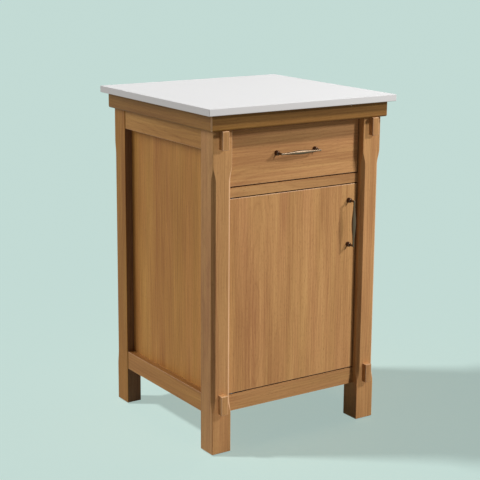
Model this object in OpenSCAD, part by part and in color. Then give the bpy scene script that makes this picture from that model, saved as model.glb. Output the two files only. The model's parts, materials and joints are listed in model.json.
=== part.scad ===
// Bathroom vanity unit: an oak case on four legs with one drawer over one
// pivoting door, a mitred cornice and a plain stone top.
// The origin is on the floor under the middle of the case, +Z is up, the
// door and drawer face -Y, and +X is on the right when seen from the front.

/* [Overall size] */
// Width across the outer faces of the legs
body_width = 532; // [480:1:640]
// Depth across the outer faces of the legs
body_depth = 512; // [480:1:580]
// Height from the floor to the top of the stone
total_height = 914; // [860:1:960]

/* [Stone top] */
// Thickness of the stone slab
slab_thickness = 18; // [12:1:30]
// How far the slab stands out past the legs on every side
slab_overhang = 29; // [20:1:45]
// Size of the small bevel along the slab's edges
slab_bevel = 1.5; // [0.5:0.25:4]

/* [Cornice] */
// Height of the cornice frame between the legs and the slab
cornice_height = 42; // [30:1:60]
// How far the cornice stands out past the legs
cornice_overhang = 13; // [12:1:18]
// Width of each cornice member, measured inwards from its outer face
cornice_member_width = 70; // [68:1:80]
// Radius of the rounded lower outer edge of the cornice
cornice_lower_radius = 6; // [2:0.5:12]
// Size of the bevel on the upper outer edge of the cornice
cornice_upper_bevel = 2; // [0.5:0.5:4]

/* [Legs] */
// Width of a front leg, seen from the front
front_leg_width = 57; // [50:1:66]
// Width of a rear leg, seen from the front
rear_leg_width = 43; // [40:1:50]
// Depth of every leg, seen from the side
leg_depth = 57; // [50:1:66]
// Size of the stopped chamfers on the front corners of the front legs
chamfer_size = 9; // [4:0.5:12]
// Size of the stopped chamfers on the outer rear corners of the rear legs
rear_chamfer_size = 4.5; // [2:0.5:9]
// Height of the lower end of the chamfers above the floor
chamfer_bottom = 102; // [60:1:160]
// Distance from the top of the leg down to the upper end of the chamfers
chamfer_top_drop = 84; // [60:1:140]
// Length of the curved run-out at each end of a chamfer
chamfer_stop_length = 48; // [25:1:90]
// Height of the nylon glide under each leg
glide_height = 3; // [2:0.5:6]
// Radius of the nylon glides
glide_radius = 15; // [8:0.5:18]

/* [Leg blocks] */
// Width of the small blocks on the fronts of the legs
block_width = 20; // [8:1:24]
// Height of the upper blocks
upper_block_height = 48; // [30:1:80]
// Height of the lower blocks
lower_block_height = 52; // [30:1:80]
// How far the blocks stand out from the leg
block_projection = 16; // [4:0.5:18]
// Height of the lower blocks' bottom ends above the floor
lower_block_bottom = 112; // [60:1:200]

/* [Side and back frames] */
// Height of the undersides of all the lower rails above the floor
case_bottom = 106; // [80:1:180]
// Height of the upper side and back rails
top_rail_height = 52; // [45:1:60]
// Height of the lower side and back rails
lower_rail_height = 51; // [48:1:80]
// Thickness of the side rails
side_rail_thickness = 34; // [30:1:36]
// How far the side and back rails lie in from the legs' outer faces
rail_setback = 2; // [0.5:0.5:4]
// How far the side panels lie in from the legs' outer faces
panel_recess = 22; // [18:1:24]
// Thickness of the side panels
panel_thickness = 8; // [5:0.5:8]
// Depth of the grooves that hold the side and back panels
groove_depth = 6; // [3:0.5:7]
// Thickness of the two back rails
back_rail_thickness = 22; // [18:1:28]
// Thickness of the back panel
back_panel_thickness = 6; // [4:0.5:9]
// Distance between the two wall-fixing holes
wall_hole_spacing = 300; // [200:1:340]
// Radius of the wall-fixing holes
wall_hole_radius = 3; // [2:0.25:5]

/* [Front frame] */
// How far the door, drawer and front rails lie behind the leg fronts
front_setback = 19; // [14:0.5:22]
// Thickness of the two front rails
front_rail_thickness = 22; // [20:1:24]
// Height of the front bottom rail
bottom_rail_height = 45; // [40:1:50]
// Height of the rail between the door and the drawer
mid_rail_height = 25; // [24:1:40]
// Gap round the door and the drawer front
reveal_gap = 3; // [2.5:0.25:4]

/* [Joinery] */
// Thickness of all the rail tenons
tenon_thickness = 10; // [6:0.5:10]
// Length of the side rails' tenons
side_tenon_length = 20; // [10:1:20]
// Length of the front rails' tenons
front_tenon_length = 15; // [8:1:18]
// Length of the back rails' tenons
back_tenon_length = 12; // [6:1:14]
// Shoulder above and below the side and back tenons
tenon_shoulder = 10; // [8:0.5:14]
// Shoulder above and below the front rails' tenons
front_tenon_shoulder = 6; // [4:0.5:8]
// Radius of the dowels between the legs and the cornice
dowel_radius = 5; // [3:0.25:5]
// Length of the dowels, half of it in the leg
dowel_length = 40; // [20:1:56]

/* [Inside] */
// Thickness of the cabinet floor
floor_thickness = 15; // [12:1:18]
// Depth of the housings in the lower side rails for the cabinet floor
floor_housing = 5; // [3:0.5:5.5]
// Height of the shelf's underside above the floor
shelf_height = 400; // [260:1:500]
// Thickness of the shelf
shelf_thickness = 18; // [12:1:25]
// Gap round the edges of the loose shelf
shelf_gap = 2; // [1:0.5:4]
// Width of the cleats under the shelf
shelf_cleat_width = 25; // [18:1:40]
// Height of the cleats under the shelf
shelf_cleat_height = 20; // [16:1:30]
// Width of the cleats that hold the cornice to the side rails
cornice_cleat_width = 20; // [15:1:20]
// Height of the cleats that hold the cornice to the side rails
cornice_cleat_height = 22; // [18:1:24]
// Height of the boards that carry the drawer slides
runner_height = 58; // [48:1:80]

/* [Door] */
// Thickness of the door
door_thickness = 20; // [18:0.5:22]
// Distance from the door's left edge to the pivot axis
pivot_inset = 13; // [12:0.5:16]
// Distance from the door's front face to the pivot axis
pivot_depth = 8; // [7.5:0.5:8.5]
// Radius of the pivot pins
pivot_radius = 3; // [2:0.25:3.5]
// Radial running clearance round the pivot pins
pivot_clearance = 0.05; // [0.02:0.01:0.1]
// Thickness of the pivot plates and leaves
pivot_plate_thickness = 3; // [2:0.5:4]
// Length of the pivot plates and leaves
pivot_plate_length = 50; // [46:1:70]
// Width of the pivot plates and leaves
pivot_plate_width = 12; // [12:0.5:13]
// Height of the magnetic catch's middle above the floor
catch_height = 560; // [300:1:570]

/* [Drawer] */
// Height of the drawer front
drawer_front_height = 144; // [140:1:170]
// Thickness of the drawer front
drawer_front_thickness = 20; // [18:0.5:22]
// Gap between the drawer front and the cornice
drawer_top_gap = 5; // [3:0.5:8]
// Height of the drawer box
drawer_box_height = 105; // [90:1:108]
// Distance from the drawer front's lower edge up to the box
drawer_box_rise = 15; // [10:1:18]
// Depth of the drawer box, front to back
drawer_box_depth = 380; // [365:1:395]
// Thickness of the drawer box's sides, front and back
drawer_side_thickness = 12; // [10:0.5:14]
// Thickness of the drawer bottom
drawer_bottom_thickness = 6; // [4:0.5:8]
// Distance from the box's lower edge up to the drawer bottom
drawer_bottom_rise = 8; // [6:0.5:10]
// Number of dovetails at each corner of the box
dovetail_count = 3; // [2:1:4]

/* [Slides] */
// Length of the drawer slides
slide_length = 350; // [330:1:356]
// Thickness of a slide, from the case to the drawer box
slide_thickness = 13; // [12.8:0.1:13.6]
// Height of a slide
slide_height = 45; // [45:0.5:46]
// Thickness of the slides' sheet steel
slide_sheet = 1.2; // [1:0.1:1.3]
// Diameter of the balls in the slides
ball_diameter = 3.2; // [3:0.1:3.4]
// Running clearance on each side of a ball
ball_clearance = 0.2; // [0.15:0.05:0.3]
// Distance from the box's lower edge up to the slides' centre line
slide_rise = 33; // [30:1:38]

/* [Pulls] */
// Distance between the two posts of a pull
pull_spacing = 122; // [96:1:140]
// Distance from the face to the middle of the bar
pull_standoff = 25; // [20:0.5:30]
// Largest radius of the bar, at its middle
pull_belly_radius = 5.8; // [4:0.1:8]
// Smallest radius of the bar, near its ends
pull_neck_radius = 2.6; // [2.2:0.1:4]
// Length of the swollen middle of the bar
pull_belly_length = 104; // [60:1:110]
// How far the bar reaches past the middle of each post
pull_end_reach = 3.5; // [3:0.5:8]
// Radius of the round base of each post
pull_base_radius = 7; // [6:0.25:10]
// Radius of the thick foot of each post
pull_knob_radius = 6.2; // [5:0.1:6.8]
// Length of that thick foot
pull_knob_length = 11; // [8:0.5:14]
// Radius of a post at its slimmest
pull_post_radius = 3; // [2.6:0.1:3]
// Radius of the pull screws
pull_screw_radius = 2; // [1.5:0.1:2]
// Distance from the drawer front's lower edge up to its pull
drawer_pull_rise = 75; // [60:1:90]
// Distance from the door's right edge to its pull
door_pull_inset = 27; // [24:1:60]
// Distance from the door's top edge down to the middle of its pull
door_pull_drop = 105; // [80:1:240]

/* [Wood screws] */
// Radius of the wood screws' shanks
screw_radius = 1.75; // [1.2:0.05:2]
// Radius of the wood screws' heads
screw_head_radius = 3.6; // [2.5:0.1:4]

/* [Hidden] */
$fn = 48;
half_w = body_width / 2;
half_d = body_depth / 2;
slab_bottom = total_height - slab_thickness;
leg_top = slab_bottom - cornice_height;
front_open = half_w - front_leg_width;
rear_open = half_w - rear_leg_width;
bay_front = -half_d + leg_depth;
bay_back = half_d - leg_depth;
glide_pin_length = 14;
cornice_half_w = half_w + cornice_overhang;
cornice_half_d = half_d + cornice_overhang;

lower_rail_top = case_bottom + lower_rail_height;
top_rail_bottom = leg_top - top_rail_height;
rail_x0 = -half_w + rail_setback;
rail_x1 = rail_x0 + side_rail_thickness;
rail_mid_x = (rail_x0 + rail_x1) / 2;
panel_x0 = -half_w + panel_recess;
panel_x1 = panel_x0 + panel_thickness;
panel_z0 = lower_rail_top - groove_depth;
panel_z1 = top_rail_bottom + groove_depth;
back_y1 = half_d - rail_setback;
back_y0 = back_y1 - back_rail_thickness;
back_mid_y = (back_y0 + back_y1) / 2;

front_y0 = -half_d + front_setback;
front_y1 = front_y0 + front_rail_thickness;
front_mid_y = (front_y0 + front_y1) / 2;
bottom_rail_top = case_bottom + bottom_rail_height;
drawer_z1 = leg_top - drawer_top_gap;
drawer_z0 = drawer_z1 - drawer_front_height;
mid_rail_z1 = drawer_z0 - reveal_gap;
mid_rail_z0 = mid_rail_z1 - mid_rail_height;
door_z0 = bottom_rail_top + reveal_gap;
door_z1 = mid_rail_z0 - reveal_gap;
door_half = front_open - reveal_gap;
door_back = front_y0 + door_thickness;

pivot_x = -door_half + pivot_inset;
pivot_y = front_y0 + pivot_depth;
plate_x0 = -door_half + 2;
plate_x1 = plate_x0 + pivot_plate_length;
plate_y0 = pivot_y - pivot_plate_width / 2;
plate_y1 = pivot_y + pivot_plate_width / 2;
plate_screws = [plate_x0 + 0.52 * pivot_plate_length, plate_x0 + 0.8 * pivot_plate_length];
plate_screw_length = 16;
leaf_screw_length = 18;
pin_reach = 2;
seat_gap = 0.3;
shoulder_radius = 5.5;
strike_thickness = 0.8;
catch_gap = 0.2;
catch_size = [14, 15, 40];

box_y0 = front_y0 + drawer_front_thickness;
box_y1 = box_y0 + drawer_box_depth;
box_z0 = drawer_z0 + drawer_box_rise;
box_z1 = box_z0 + drawer_box_height;
box_half = front_open - slide_thickness;
inner_half = box_half - drawer_side_thickness;
inner_y0 = box_y0 + drawer_side_thickness;
inner_y1 = box_y1 - drawer_side_thickness;
bottom_z0 = box_z0 + drawer_bottom_rise;
bottom_z1 = bottom_z0 + drawer_bottom_thickness;
slide_z = box_z0 + slide_rise;
slide_y0 = box_y0 + 2;
slide_y1 = slide_y0 + slide_length;
ball_gap = ball_diameter + 2 * ball_clearance;
outer_half_h = slide_height / 2;
middle_half_h = outer_half_h - slide_sheet - ball_gap;
inner_half_h = middle_half_h - slide_sheet - ball_gap;
middle_t0 = 2 * slide_sheet;
middle_t1 = slide_thickness - 2 * slide_sheet;
inner_t0 = middle_t0 + slide_sheet + 1.4;
slide_case_screws = [(slide_y0 + bay_front) / 2, slide_y0 + 0.83 * slide_length];
slide_box_screws = [slide_y0 + 0.07 * slide_length, slide_y0 + 0.83 * slide_length];
slide_screw_length = 16;

drawer_pull_z = drawer_z0 + drawer_pull_rise;
door_pull_x = door_half - door_pull_inset;
door_pull_z = door_z1 - door_pull_drop;
pull_screw_bite = 8;
pull_half = pull_spacing / 2 + pull_end_reach;

oak = [0.66, 0.46, 0.27];
oak_light = [0.71, 0.51, 0.31];
stone = [0.91, 0.91, 0.91];
birch = [0.83, 0.72, 0.55];
zinc = [0.72, 0.73, 0.75];
bronze = [0.33, 0.29, 0.24];
nylon = [0.35, 0.27, 0.2];

// A box between two opposite corners
module board(x0, x1, y0, y1, z0, z1) {
    translate([x0, y0, z0]) cube([x1 - x0, y1 - y0, z1 - z0]);
}

// The children on the left, and their mirror image on the right
module both_sides() {
    children();
    mirror([1, 0, 0]) children();
}

// An upright round bar
module rod_z(x, y, z0, z1, r) {
    translate([x, y, z0]) cylinder(h = z1 - z0, r = r);
}

// A countersunk wood screw, its flat head face at the origin, pointing to +Z
module wood_screw(length) {
    rotate_extrude() polygon([[0, 0], [screw_head_radius, 0],
        [screw_radius, screw_head_radius - screw_radius], [screw_radius, length - 2],
        [0, length]]);
}

// A machine screw with a pan head below the origin, pointing to +Z
module pull_screw(length) {
    rotate_extrude() polygon([[0, -2.5], [3, -2.5], [4, -1.5], [4, 0],
        [pull_screw_radius, 0], [pull_screw_radius, length], [0, length]]);
}

// Stone top: a slab whose edges carry a small bevel above and below
function bevelled(a) = [[-a + slab_bevel, slab_bottom], [a - slab_bevel, slab_bottom],
    [a, slab_bottom + slab_bevel], [a, total_height - slab_bevel],
    [a - slab_bevel, total_height], [-a + slab_bevel, total_height],
    [-a, total_height - slab_bevel], [-a, slab_bottom + slab_bevel]];

module countertop() {
    w = half_w + slab_overhang;
    d = half_d + slab_overhang;
    color(stone) intersection() {
        rotate([90, 0, 0]) linear_extrude(height = 2 * d, center = true) polygon(bevelled(w));
        rotate([90, 0, 90]) linear_extrude(height = 2 * w, center = true) polygon(bevelled(d));
    }
}

// Cornice: a member along X with its moulded face at -Y, mitred at both ends
function cornice_profile(d) = concat(
    [[-d + cornice_member_width, leg_top]],
    [for (i = [0:8]) [-d + cornice_lower_radius * (1 - sin(90 * i / 8)),
        leg_top + cornice_lower_radius * (1 - cos(90 * i / 8))]],
    [[-d, slab_bottom - cornice_upper_bevel], [-d + cornice_upper_bevel, slab_bottom],
        [-d + cornice_member_width, slab_bottom]]);

module cornice_member(half_length, face) {
    reach = 2 * cornice_member_width;
    difference() {
        rotate([90, 0, 90]) linear_extrude(height = 2 * half_length, center = true)
            polygon(cornice_profile(face));
        both_sides() translate([-half_length, -face, leg_top - 1]) rotate([0, 0, 45])
            translate([-reach / 2, 0, 0]) cube([2 * reach, reach, cornice_height + 2]);
    }
}

module cornice_front() {
    color(oak) difference() {
        cornice_member(cornice_half_w, cornice_half_d);
        leg_dowels();
    }
}
module cornice_back() {
    color(oak) difference() {
        rotate([0, 0, 180]) cornice_member(cornice_half_w, cornice_half_d);
        leg_dowels();
    }
}
module cornice_left() {
    color(oak) difference() {
        rotate([0, 0, -90]) cornice_member(cornice_half_d, cornice_half_w);
        cleat_screws();
    }
}
module cornice_right() {
    mirror([1, 0, 0]) cornice_left();
}

// Tenons, as bars that run right through their rails
module side_tenons(z0, z1) {
    board(rail_mid_x - tenon_thickness / 2, rail_mid_x + tenon_thickness / 2,
        bay_front - side_tenon_length, bay_back + side_tenon_length,
        z0 + tenon_shoulder, z1 - tenon_shoulder);
}
module front_tenons(z0, z1) {
    board(-front_open - front_tenon_length, front_open + front_tenon_length,
        front_mid_y - tenon_thickness / 2, front_mid_y + tenon_thickness / 2,
        z0 + front_tenon_shoulder, z1 - front_tenon_shoulder);
}
module back_tenons(z0, z1) {
    board(-rear_open - back_tenon_length, rear_open + back_tenon_length,
        back_mid_y - tenon_thickness / 2, back_mid_y + tenon_thickness / 2,
        z0 + tenon_shoulder, z1 - tenon_shoulder);
}

// A stopped chamfer: its depth, measured square to it, against height
chamfer_z0 = chamfer_bottom;
chamfer_z1 = leg_top - chamfer_top_drop;
stop_steps = 14;
function stop_depth(size, i) = size / sqrt(2) * (1 - cos(180 * i / stop_steps)) / 2;
module stopped_chamfer(size) {
    rotate([90, 0, 0]) linear_extrude(height = 4 * size, center = true)
        polygon(concat([[-size, chamfer_z0]],
            [for (i = [0:stop_steps]) [stop_depth(size, i),
                chamfer_z0 + chamfer_stop_length * i / stop_steps]],
            [for (i = [stop_steps:-1:0]) [stop_depth(size, i),
                chamfer_z1 - chamfer_stop_length * i / stop_steps]],
            [[-size, chamfer_z1]]));
}

module front_left_leg() {
    color(oak) difference() {
        board(-half_w, -front_open, -half_d, bay_front, glide_height, leg_top);
        translate([-half_w, -half_d, 0]) rotate([0, 0, 45]) stopped_chamfer(chamfer_size);
        translate([-front_open, -half_d, 0]) rotate([0, 0, 135]) stopped_chamfer(chamfer_size);
        side_tenons(case_bottom, lower_rail_top);
        side_tenons(top_rail_bottom, leg_top);
        front_tenons(case_bottom, bottom_rail_top);
        front_tenons(mid_rail_z0, mid_rail_z1);
        side_panel();
        leg_dowels();
        foot_glides();
        slide_case_screw_set();
    }
}
module front_right_leg() {
    color(oak) difference() {
        mirror([1, 0, 0]) front_left_leg();
        catch_screws();
    }
}
module rear_left_leg() {
    color(oak) difference() {
        board(-half_w, -rear_open, bay_back, half_d, glide_height, leg_top);
        translate([-half_w, half_d, 0]) rotate([0, 0, -45]) stopped_chamfer(rear_chamfer_size);
        side_tenons(case_bottom, lower_rail_top);
        side_tenons(top_rail_bottom, leg_top);
        back_tenons(case_bottom, lower_rail_top);
        back_tenons(top_rail_bottom, leg_top);
        side_panel();
        back_panel();
        leg_dowels();
        foot_glides();
    }
}
module rear_right_leg() {
    mirror([1, 0, 0]) rear_left_leg();
}

// Small blocks on the fronts of the front legs
module leg_blocks(z0, height) {
    x = -half_w + front_leg_width / 2;
    both_sides() board(x - block_width / 2, x + block_width / 2,
        -half_d - block_projection, -half_d, z0, z0 + height);
}
module upper_blocks() {
    color(oak_light) leg_blocks(leg_top - upper_block_height, upper_block_height);
}
module lower_blocks() {
    color(oak_light) leg_blocks(lower_block_bottom, lower_block_height);
}

// Nylon glides with a pin pressed into each leg
module foot_glide(x, y) {
    rod_z(x, y, 0, glide_height, glide_radius);
    rod_z(x, y, glide_height / 2, glide_height + glide_pin_length, glide_radius / 6);
}
module foot_glides() {
    color(nylon) both_sides() {
        foot_glide(-half_w + front_leg_width / 2, -half_d + leg_depth / 2);
        foot_glide(-half_w + rear_leg_width / 2, half_d - leg_depth / 2);
    }
}

// Dowels from the legs up into the front and back cornice members
module leg_dowels() {
    z0 = leg_top - dowel_length / 2;
    z1 = leg_top + dowel_length / 2;
    color(birch) both_sides() {
        rod_z(-half_w + 0.72 * front_leg_width, -half_d + 0.27 * leg_depth, z0, z1, dowel_radius);
        rod_z(-half_w + 0.5 * rear_leg_width, half_d - 0.18 * leg_depth, z0, z1, dowel_radius);
    }
}

// Side frames: two rails and a panel in grooves
module side_panel() {
    board(panel_x0, panel_x1, bay_front - groove_depth, bay_back + groove_depth,
        panel_z0, panel_z1);
}
module side_rail(z0, z1) {
    union() {
        board(rail_x0, rail_x1, bay_front, bay_back, z0, z1);
        side_tenons(z0, z1);
    }
}
module left_top_rail() {
    color(oak) difference() {
        side_rail(top_rail_bottom, leg_top);
        side_panel();
    }
}
module left_lower_rail() {
    color(oak) difference() {
        side_rail(case_bottom, lower_rail_top);
        side_panel();
        cabinet_floor();
    }
}
module left_panel() {
    color(oak) side_panel();
}
module right_top_rail() {
    mirror([1, 0, 0]) left_top_rail();
}
module right_lower_rail() {
    mirror([1, 0, 0]) left_lower_rail();
}
module right_panel() {
    mirror([1, 0, 0]) left_panel();
}

// Back frame: two rails and a thin panel in grooves
module back_rail(z0, z1) {
    difference() {
        union() {
            board(-rear_open, rear_open, back_y0, back_y1, z0, z1);
            back_tenons(z0, z1);
        }
        back_panel();
    }
}
module back_top_rail() {
    color(oak) difference() {
        back_rail(top_rail_bottom, leg_top);
        both_sides() translate([-wall_hole_spacing / 2, back_y0 - 1, (top_rail_bottom + leg_top) / 2])
            rotate([-90, 0, 0]) cylinder(h = back_rail_thickness + 2, r = wall_hole_radius);
    }
}
module back_lower_rail() {
    color(oak) back_rail(case_bottom, lower_rail_top);
}
module back_panel() {
    color(birch) board(-rear_open - groove_depth, rear_open + groove_depth,
        back_mid_y - back_panel_thickness / 2, back_mid_y + back_panel_thickness / 2,
        panel_z0, panel_z1);
}

// Front rails
module front_rail(z0, z1) {
    union() {
        board(-front_open, front_open, front_y0, front_y1, z0, z1);
        front_tenons(z0, z1);
    }
}
module mid_rail() {
    color(oak) difference() {
        front_rail(mid_rail_z0, mid_rail_z1);
        pivot_plate_blanks();
        pivot_plate_screws();
    }
}
module bottom_rail() {
    color(oak) difference() {
        front_rail(case_bottom, bottom_rail_top);
        pivot_plate_blanks();
        pivot_plate_screws();
    }
}

// Cabinet floor, cut round the legs and let into the lower side rails
module cabinet_floor() {
    w = -rail_x1 + floor_housing;
    color(birch) translate([0, 0, bottom_rail_top - floor_thickness])
        linear_extrude(height = floor_thickness)
        polygon([[-front_open, front_y1], [front_open, front_y1], [front_open, bay_front],
            [w, bay_front], [w, bay_back], [rear_open, bay_back], [rear_open, back_y0],
            [-rear_open, back_y0], [-rear_open, bay_back], [-w, bay_back],
            [-w, bay_front], [-front_open, bay_front]]);
}

// Loose shelf and the cleats that carry it
module shelf() {
    color(birch) board(panel_x1 + shelf_gap, -panel_x1 - shelf_gap,
        bay_front + shelf_gap, bay_back - shelf_gap,
        shelf_height, shelf_height + shelf_thickness);
}
module shelf_cleats() {
    color(birch) both_sides() board(panel_x1, panel_x1 + shelf_cleat_width,
        bay_front, bay_back, shelf_height - shelf_cleat_height, shelf_height);
}

// Cleats inside the top side rails, screwed up into the cornice
module cornice_cleats() {
    color(birch) difference() {
        both_sides() board(rail_x1, rail_x1 + cornice_cleat_width, bay_front, bay_back,
            leg_top - cornice_cleat_height, leg_top);
        cleat_screws();
    }
}
module cleat_screws() {
    color(zinc) both_sides() for (y = bay_back * [-0.6, 0, 0.6])
        translate([rail_x1 + cornice_cleat_width / 2, y, leg_top - cornice_cleat_height])
            wood_screw(cornice_cleat_height + 14);
}

// Boards between the legs that carry the slides
module left_runner() {
    color(birch) difference() {
        board(panel_x1, -front_open, bay_front, bay_back,
            slide_z - runner_height / 2, slide_z + runner_height / 2);
        slide_case_screw_set();
    }
}
module right_runner() {
    mirror([1, 0, 0]) left_runner();
}

// A folded steel channel along Y: its web between t0 and the sheet's
// thickness, measured from the case towards the drawer box
module channel(t0, t1, web_at_t1, half_h) {
    open0 = web_at_t1 ? t0 - 1 : t0 + slide_sheet;
    open1 = web_at_t1 ? t1 - slide_sheet : t1 + 1;
    difference() {
        board(-front_open + t0, -front_open + t1, slide_y0, slide_y1,
            slide_z - half_h, slide_z + half_h);
        board(-front_open + open0, -front_open + open1, slide_y0 - 1, slide_y1 + 1,
            slide_z - half_h + slide_sheet, slide_z + half_h - slide_sheet);
    }
}
module left_slide_outer() {
    color(zinc) difference() {
        channel(0, 10, false, outer_half_h);
        slide_case_screw_set();
    }
}
module right_slide_outer() {
    mirror([1, 0, 0]) left_slide_outer();
}
module left_slide_middle() {
    color(zinc) channel(middle_t0, middle_t1, false, middle_half_h);
}
module right_slide_middle() {
    mirror([1, 0, 0]) left_slide_middle();
}
module left_slide_inner() {
    color(zinc) difference() {
        channel(inner_t0, slide_thickness, true, inner_half_h);
        slide_box_screw_set();
    }
}
module right_slide_inner() {
    mirror([1, 0, 0]) left_slide_inner();
}

// Balls in strips that ride on the middle channel's flanges
module ball_strip(t, y0, z_flange, side) {
    z_ball = z_flange + side * ball_gap / 2;
    strip = 1;
    board(-front_open + t - 1.5, -front_open + t + 1.5, y0, y0 + 100,
        z_flange + (side > 0 ? 0 : -strip), z_flange + (side > 0 ? strip : 0));
    for (i = [0:4]) translate([-front_open + t, y0 + 10 + 20 * i, z_ball])
        sphere(d = ball_diameter, $fn = 24);
}
module left_slide_balls() {
    rear = slide_y1 - 120;
    front = slide_y0 + 20;
    color(zinc) {
        ball_strip(6.8, rear, slide_z + middle_half_h, 1);
        ball_strip(6.8, rear, slide_z - middle_half_h, -1);
        ball_strip(8, front, slide_z + middle_half_h - slide_sheet, -1);
        ball_strip(8, front, slide_z - middle_half_h + slide_sheet, 1);
    }
}
module right_slide_balls() {
    mirror([1, 0, 0]) left_slide_balls();
}

module slide_case_screw_set() {
    color(zinc) both_sides() for (y = slide_case_screws)
        translate([-front_open + slide_sheet, y, slide_z]) rotate([0, -90, 0])
            wood_screw(slide_screw_length);
}
module slide_box_screw_set() {
    color(zinc) both_sides() for (y = slide_box_screws)
        translate([-box_half - slide_sheet, y, slide_z]) rotate([0, 90, 0])
            wood_screw(drawer_side_thickness - 1);
}

// Drawer box: through dovetails, with the tails on the sides
module tails(y_end, y_shoulder) {
    pitch = drawer_box_height / dovetail_count;
    wide = 0.36 * pitch;
    narrow = wide - drawer_side_thickness / 6;
    y_root = y_shoulder + (y_shoulder - y_end) / 4;
    for (i = [0:dovetail_count - 1])
        translate([-box_half, 0, box_z0 + pitch * (i + 0.5)]) rotate([90, 0, 90])
            linear_extrude(height = drawer_side_thickness)
            polygon([[y_end, -wide], [y_shoulder, -narrow], [y_root, -narrow],
                [y_root, narrow], [y_shoulder, narrow], [y_end, wide]]);
}
module drawer_left_side() {
    color(birch) difference() {
        union() {
            board(-box_half, -inner_half, inner_y0, inner_y1, box_z0, box_z1);
            tails(box_y0, inner_y0);
            tails(box_y1, inner_y1);
        }
        drawer_bottom();
        slide_box_screw_set();
    }
}
module drawer_right_side() {
    mirror([1, 0, 0]) drawer_left_side();
}
module drawer_box_front() {
    color(birch) difference() {
        board(-box_half, box_half, box_y0, inner_y0, box_z0, box_z1);
        both_sides() tails(box_y0, inner_y0);
        drawer_bottom();
        drawer_front_screws();
        drawer_pull_screws();
    }
}
module drawer_box_back() {
    color(birch) difference() {
        board(-box_half, box_half, inner_y1, box_y1, box_z0, box_z1);
        both_sides() tails(box_y1, inner_y1);
        drawer_bottom();
    }
}
module drawer_bottom() {
    color(birch) board(-inner_half - groove_depth, inner_half + groove_depth,
        inner_y0 - groove_depth, inner_y1 + groove_depth, bottom_z0, bottom_z1);
}
module drawer_front() {
    color(oak) difference() {
        board(-door_half, door_half, front_y0, box_y0, drawer_z0, drawer_z1);
        drawer_front_screws();
        drawer_pull_screws();
    }
}
module drawer_front_screws() {
    color(zinc) both_sides() for (z = [0.25, 0.8])
        translate([-0.58 * door_half, inner_y0, box_z0 + z * drawer_box_height]) rotate([90, 0, 0])
            wood_screw(drawer_side_thickness + drawer_front_thickness - 6);
}

// Pull: two posts with thick feet, rounded at the shoulder, and a bar that
// swells in its middle; its face plane is at Y = 0 and the bar lies along X
knob_round = pull_knob_radius - pull_post_radius;
post_profile = concat(
    [[0, 0], [pull_base_radius, 0], [pull_base_radius, 1.4], [pull_knob_radius, 2.2]],
    [for (i = [0:6]) [pull_post_radius + knob_round * cos(15 * i),
        pull_knob_length - knob_round * (1 - sin(15 * i))]],
    [[pull_post_radius, pull_standoff - 1], [0, pull_standoff - 1]]);
bar_steps = 28;
bar_profile = concat(
    [for (i = [0:6]) [pull_neck_radius * sin(15 * i),
        -pull_half + pull_neck_radius * (1 - cos(15 * i))]],
    [for (i = [0:bar_steps]) [pull_neck_radius + (pull_belly_radius - pull_neck_radius)
        * (1 - cos(360 * i / bar_steps)) / 2,
        pull_belly_length * (i / bar_steps - 0.5)]],
    [for (i = [6:-1:0]) [pull_neck_radius * sin(15 * i),
        pull_half - pull_neck_radius * (1 - cos(15 * i))]]);
module pull() {
    difference() {
        union() {
            both_sides() translate([-pull_spacing / 2, 0, 0]) rotate([90, 0, 0])
                rotate_extrude() polygon(post_profile);
            translate([0, -pull_standoff, 0]) rotate([0, 90, 0])
                rotate_extrude() polygon(bar_profile);
        }
        both_sides() translate([-pull_spacing / 2, 1, 0]) rotate([90, 0, 0])
            cylinder(h = pull_screw_bite + 1, r = pull_screw_radius);
    }
}
module drawer_pull() {
    color(bronze) translate([0, front_y0, drawer_pull_z]) pull();
}
module drawer_pull_screws() {
    color(zinc) both_sides() translate([-pull_spacing / 2, inner_y0, drawer_pull_z])
        rotate([90, 0, 0])
        pull_screw(drawer_side_thickness + drawer_front_thickness + pull_screw_bite);
}
module door_pull() {
    color(bronze) translate([door_pull_x, front_y0, door_pull_z]) rotate([0, 90, 0]) pull();
}
module door_pull_screws() {
    color(zinc) for (s = [-1, 1])
        translate([door_pull_x, door_back, door_pull_z + s * pull_spacing / 2])
            rotate([90, 0, 0]) pull_screw(door_thickness + pull_screw_bite);
}

// Pivot hinges: fixed plates in the rails carry the pins, and the leaves in
// the door's ends turn round them
module pivot_plate_blanks() {
    board(plate_x0, plate_x1, plate_y0, plate_y1,
        mid_rail_z0, mid_rail_z0 + pivot_plate_thickness);
    board(plate_x0, plate_x1, plate_y0, plate_y1,
        bottom_rail_top - pivot_plate_thickness, bottom_rail_top);
}
module pivot_pins(seat, reach, r) {
    rod_z(pivot_x, pivot_y, door_z1 + seat - reach, mid_rail_z0 + 1, r);
    rod_z(pivot_x, pivot_y, bottom_rail_top - 1, door_z0 - seat + reach, r);
}
module pivot_plates() {
    color(zinc) difference() {
        union() {
            pivot_plate_blanks();
            pivot_pins(seat_gap, 0, shoulder_radius);
            pivot_pins(0, pivot_plate_thickness + pin_reach, pivot_radius);
        }
        pivot_plate_screws();
    }
}
module pivot_plate_screws() {
    color(zinc) for (x = plate_screws) {
        translate([x, pivot_y, mid_rail_z0]) wood_screw(plate_screw_length);
        translate([x, pivot_y, bottom_rail_top]) rotate([180, 0, 0])
            wood_screw(plate_screw_length);
    }
}
module pivot_leaves() {
    color(zinc) difference() {
        pivot_leaf_blanks();
        rod_z(pivot_x, pivot_y, door_z0 - 1, door_z1 + 1, pivot_radius + pivot_clearance);
        door_screws();
    }
}
module pivot_leaf_blanks() {
    board(plate_x0, plate_x1, plate_y0, plate_y1, door_z1 - pivot_plate_thickness, door_z1);
    board(plate_x0, plate_x1, plate_y0, plate_y1, door_z0, door_z0 + pivot_plate_thickness);
}

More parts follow.
